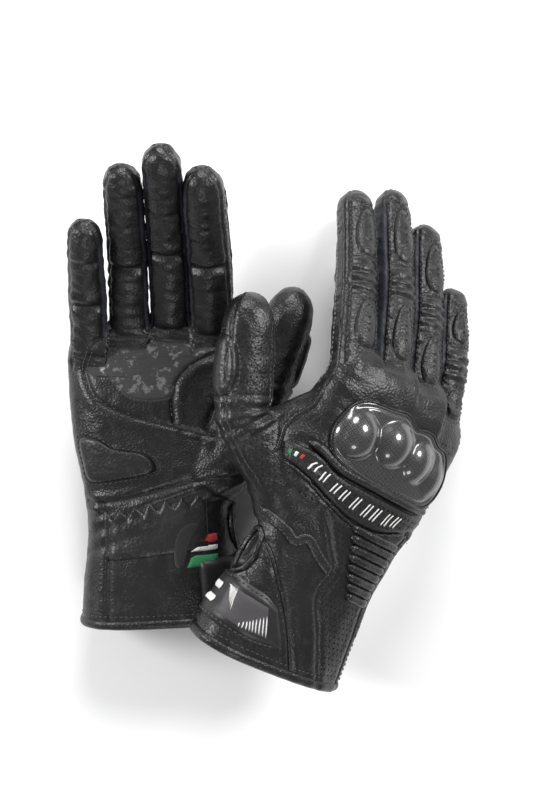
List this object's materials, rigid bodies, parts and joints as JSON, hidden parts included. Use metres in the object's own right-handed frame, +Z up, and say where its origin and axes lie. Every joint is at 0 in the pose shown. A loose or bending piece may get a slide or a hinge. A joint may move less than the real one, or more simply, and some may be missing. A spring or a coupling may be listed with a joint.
{
  "type": "riding gloves",
  "caption": "Pair of short-cuff black leather riding gloves, one palm up and one back up, with a hard knuckle guard, padded fingers, a ribbed wrist and a strap that closes round the cuff.",
  "frame": {"origin": "under the middle of the pair, on the surface that it lies on", "axes": "+Z up, +Y towards the fingers of the lower glove, +X towards the upper glove"},
  "size_m": [0.2066, 0.2626, 0.1135],
  "materials": {
    "smooth_leather": "smooth black cowhide with a soft sheen",
    "perforated_leather": "black cowhide punched with small holes",
    "armour_leather": "black leather over moulded padding",
    "grip_suede": "dark grey synthetic suede",
    "carbon_shell": "carbon weave under clear lacquer",
    "foam": "soft foam",
    "edge_binding": "rolled black leather",
    "hook_and_loop": "black loop pile",
    "strap_rubber": "moulded strap end with a light pattern",
    "stretch_fabric": "knitted stretch fabric",
    "thread": "sewing thread",
    "light_trim": "pale print and trim",
    "lining": "woven lining"
  },
  "bodies": {
    "glove_a_hand": {"glove_a_palm_panel": "smooth_leather", "glove_a_back_panel": "perforated_leather", "glove_a_index_side_panel": "smooth_leather", "glove_a_outer_side_panel": "smooth_leather", "glove_a_heel_slider": "smooth_leather", "glove_a_palm_grip": "grip_suede", "glove_a_knuckle_guard": "carbon_shell", "glove_a_knuckle_foam": "foam", "glove_a_knuckle_roll": "smooth_leather", "glove_a_knuckle_band": "perforated_leather", "glove_a_wrist_accordion": "smooth_leather"},
    "glove_a_cuff": {"glove_a_cuff_back": "perforated_leather", "glove_a_cuff_palm": "smooth_leather", "glove_a_cuff_edge": "edge_binding", "glove_a_loop_patch": "hook_and_loop", "glove_a_wrist_overlay": "grip_suede", "glove_a_strap_root": "strap_rubber"},
    "glove_a_strap": {"glove_a_closure_strap": "strap_rubber"},
    "glove_a_index_base": {"glove_a_index_base": "smooth_leather"},
    "glove_a_index_tip": {"glove_a_index_tip": "smooth_leather"},
    "glove_a_middle_base": {"glove_a_middle_base": "smooth_leather"},
    "glove_a_middle_tip": {"glove_a_middle_tip": "smooth_leather"},
    "glove_a_ring_base": {"glove_a_ring_base": "smooth_leather"},
    "glove_a_ring_tip": {"glove_a_ring_tip": "smooth_leather"},
    "glove_a_little_base": {"glove_a_little_base": "smooth_leather"},
    "glove_a_little_tip": {"glove_a_little_tip": "smooth_leather"},
    "glove_a_thumb_base": {"glove_a_thumb_base": "smooth_leather"},
    "glove_a_thumb_tip": {"glove_a_thumb_tip": "smooth_leather", "glove_a_thumb_slider": "armour_leather", "glove_a_thumb_grip": "grip_suede"},
    "glove_b_hand": {"glove_b_palm_panel": "smooth_leather", "glove_b_back_panel": "perforated_leather", "glove_b_index_side_panel": "smooth_leather", "glove_b_outer_side_panel": "smooth_leather", "glove_b_heel_slider": "smooth_leather", "glove_b_palm_grip": "grip_suede", "glove_b_knuckle_guard": "carbon_shell", "glove_b_knuckle_foam": "foam", "glove_b_knuckle_roll": "smooth_leather", "glove_b_knuckle_band": "perforated_leather", "glove_b_wrist_accordion": "smooth_leather"},
    "glove_b_cuff": {"glove_b_cuff_back": "perforated_leather", "glove_b_cuff_palm": "smooth_leather", "glove_b_cuff_edge": "edge_binding", "glove_b_loop_patch": "hook_and_loop", "glove_b_wrist_overlay": "grip_suede", "glove_b_strap_root": "strap_rubber"},
    "glove_b_strap": {"glove_b_closure_strap": "strap_rubber"},
    "glove_b_index_base": {"glove_b_index_base": "smooth_leather"},
    "glove_b_index_tip": {"glove_b_index_tip": "smooth_leather"},
    "glove_b_middle_base": {"glove_b_middle_base": "smooth_leather"},
    "glove_b_middle_tip": {"glove_b_middle_tip": "smooth_leather"},
    "glove_b_ring_base": {"glove_b_ring_base": "smooth_leather"},
    "glove_b_ring_tip": {"glove_b_ring_tip": "smooth_leather"},
    "glove_b_little_base": {"glove_b_little_base": "smooth_leather"},
    "glove_b_little_tip": {"glove_b_little_tip": "smooth_leather"},
    "glove_b_thumb_base": {"glove_b_thumb_base": "smooth_leather"},
    "glove_b_thumb_tip": {"glove_b_thumb_tip": "smooth_leather", "glove_b_thumb_slider": "armour_leather", "glove_b_thumb_grip": "grip_suede"}
  },
  "joints": [
    {"name": "glove_a_wrist", "type": "hinge", "parent": "glove_a_hand", "child": "glove_a_cuff", "pos_m": [-0.05802, -0.04037, 0.02756], "axis": [-0.9994, -0.0349, 0], "range_deg": [-30, 2], "deforming": ["glove_a_wrist_accordion"]},
    {"name": "glove_a_strap", "type": "hinge", "parent": "glove_a_cuff", "child": "glove_a_strap", "pos_m": [-0.02365, -0.07897, 0.04412], "axis": [0.0347, -0.9948, -0.0958], "range_deg": [0, 38]},
    {"name": "glove_a_index_knuckle", "type": "hinge", "parent": "glove_a_hand", "child": "glove_a_index_base", "pos_m": [-0.02996, 0.04427, 0.03561], "axis": [0.9994, 0.0349, 0], "range_deg": [-29, 31]},
    {"name": "glove_a_index_middle", "type": "hinge", "parent": "glove_a_index_base", "child": "glove_a_index_tip", "pos_m": [-0.03134, 0.08381, 0.0628], "axis": [0.9994, 0.0349, 0], "range_deg": [-15, 51]},
    {"name": "glove_a_middle_knuckle", "type": "hinge", "parent": "glove_a_hand", "child": "glove_a_middle_base", "pos_m": [-0.05109, 0.04761, 0.035], "axis": [1, -0.0085, -0.0042], "range_deg": [-31, 29]},
    {"name": "glove_a_middle_middle", "type": "hinge", "parent": "glove_a_middle_base", "child": "glove_a_middle_tip", "pos_m": [-0.0506, 0.08941, 0.06592], "axis": [1, -0.0085, -0.0042], "range_deg": [-13, 53]},
    {"name": "glove_a_ring_knuckle", "type": "hinge", "parent": "glove_a_hand", "child": "glove_a_ring_base", "pos_m": [-0.07197, 0.0438, 0.0357], "axis": [0.999, -0.0433, -0.0075], "range_deg": [-28, 32]},
    {"name": "glove_a_ring_middle", "type": "hinge", "parent": "glove_a_ring_base", "child": "glove_a_ring_tip", "pos_m": [-0.07004, 0.08379, 0.06218], "axis": [0.999, -0.0433, -0.0075], "range_deg": [-14, 52]},
    {"name": "glove_a_little_knuckle", "type": "hinge", "parent": "glove_a_hand", "child": "glove_a_little_base", "pos_m": [-0.09163, 0.03396, 0.03683], "axis": [0.9975, -0.0693, -0.01], "range_deg": [-29, 31]},
    {"name": "glove_a_little_middle", "type": "hinge", "parent": "glove_a_little_base", "child": "glove_a_little_tip", "pos_m": [-0.08925, 0.0652, 0.05834], "axis": [0.9975, -0.0693, -0.01], "range_deg": [-8, 58]},
    {"name": "glove_a_thumb_swing", "type": "hinge", "parent": "glove_a_hand", "child": "glove_a_thumb_base", "pos_m": [-0.02565, -0.02189, 0.03526], "axis": [-0.0033, 0.0958, -0.9954], "range_deg": [-3, 25]},
    {"name": "glove_a_thumb_joint", "type": "hinge", "parent": "glove_a_thumb_base", "child": "glove_a_thumb_tip", "pos_m": [-0.00431, 0.01642, 0.03887], "axis": [0.0033, -0.0958, 0.9954], "range_deg": [-10, 18]},
    {"name": "glove_b_wrist", "type": "hinge", "parent": "glove_b_hand", "child": "glove_b_cuff", "pos_m": [0.02448, -0.06137, 0.05656], "axis": [0.7742, -0.3883, -0.4998], "range_deg": [-30, 1], "deforming": ["glove_b_wrist_accordion"]},
    {"name": "glove_b_strap", "type": "hinge", "parent": "glove_b_cuff", "child": "glove_b_strap", "pos_m": [-0.0274, -0.07716, 0.05448], "axis": [-0.4616, -0.8867, -0.0262], "range_deg": [0, 70]},
    {"name": "glove_b_index_knuckle", "type": "hinge", "parent": "glove_b_hand", "child": "glove_b_index_base", "pos_m": [0.03925, 0.02515, 0.07425], "axis": [-0.8398, 0.2366, 0.4887], "range_deg": [-29, 23]},
    {"name": "glove_b_index_middle", "type": "hinge", "parent": "glove_b_index_base", "child": "glove_b_index_tip", "pos_m": [0.04292, 0.07039, 0.05865], "axis": [-0.8398, 0.2366, 0.4887], "range_deg": [-6, 60]},
    {"name": "glove_b_middle_knuckle", "type": "hinge", "parent": "glove_b_hand", "child": "glove_b_middle_base", "pos_m": [0.05779, 0.02029, 0.06473], "axis": [-0.8369, 0.2448, 0.4896], "range_deg": [-28, 32]},
    {"name": "glove_b_middle_middle", "type": "hinge", "parent": "glove_b_middle_base", "child": "glove_b_middle_tip", "pos_m": [0.06259, 0.06942, 0.04837], "axis": [-0.8369, 0.2448, 0.4896], "range_deg": [-8, 58]},
    {"name": "glove_b_ring_knuckle", "type": "hinge", "parent": "glove_b_hand", "child": "glove_b_ring_base", "pos_m": [0.07223, 0.00973, 0.05328], "axis": [-0.8339, 0.2529, 0.4905], "range_deg": [-25, 35]},
    {"name": "glove_b_ring_middle", "type": "hinge", "parent": "glove_b_ring_base", "child": "glove_b_ring_tip", "pos_m": [0.07833, 0.05547, 0.04006], "axis": [-0.8339, 0.2529, 0.4905], "range_deg": [-8, 58]},
    {"name": "glove_b_little_knuckle", "type": "hinge", "parent": "glove_b_hand", "child": "glove_b_little_base", "pos_m": [0.0827, -0.00552, 0.04132], "axis": [-0.8278, 0.2692, 0.4921], "range_deg": [-15, 45]},
    {"name": "glove_b_little_middle", "type": "hinge", "parent": "glove_b_little_base", "child": "glove_b_little_tip", "pos_m": [0.09152, 0.03108, 0.03615], "axis": [-0.8278, 0.2692, 0.4921], "range_deg": [-16, 50]},
    {"name": "glove_b_thumb_swing", "type": "hinge", "parent": "glove_b_hand", "child": "glove_b_thumb_base", "pos_m": [0.00464, -0.03109, 0.06833], "axis": [0.433, -0.251, 0.8657], "range_deg": [-22, 4]},
    {"name": "glove_b_thumb_joint", "type": "hinge", "parent": "glove_b_thumb_base", "child": "glove_b_thumb_tip", "pos_m": [-0.01362, 0.00791, 0.07734], "axis": [-0.3486, 0.0529, -0.9358], "range_deg": [-30, 20]},
    {"name": "glove_b_lift", "type": "slide", "parent": "glove_a_hand", "child": "glove_b_hand", "axis": [0, 0, 1], "range_m": [0, 0.3]}
  ]
}
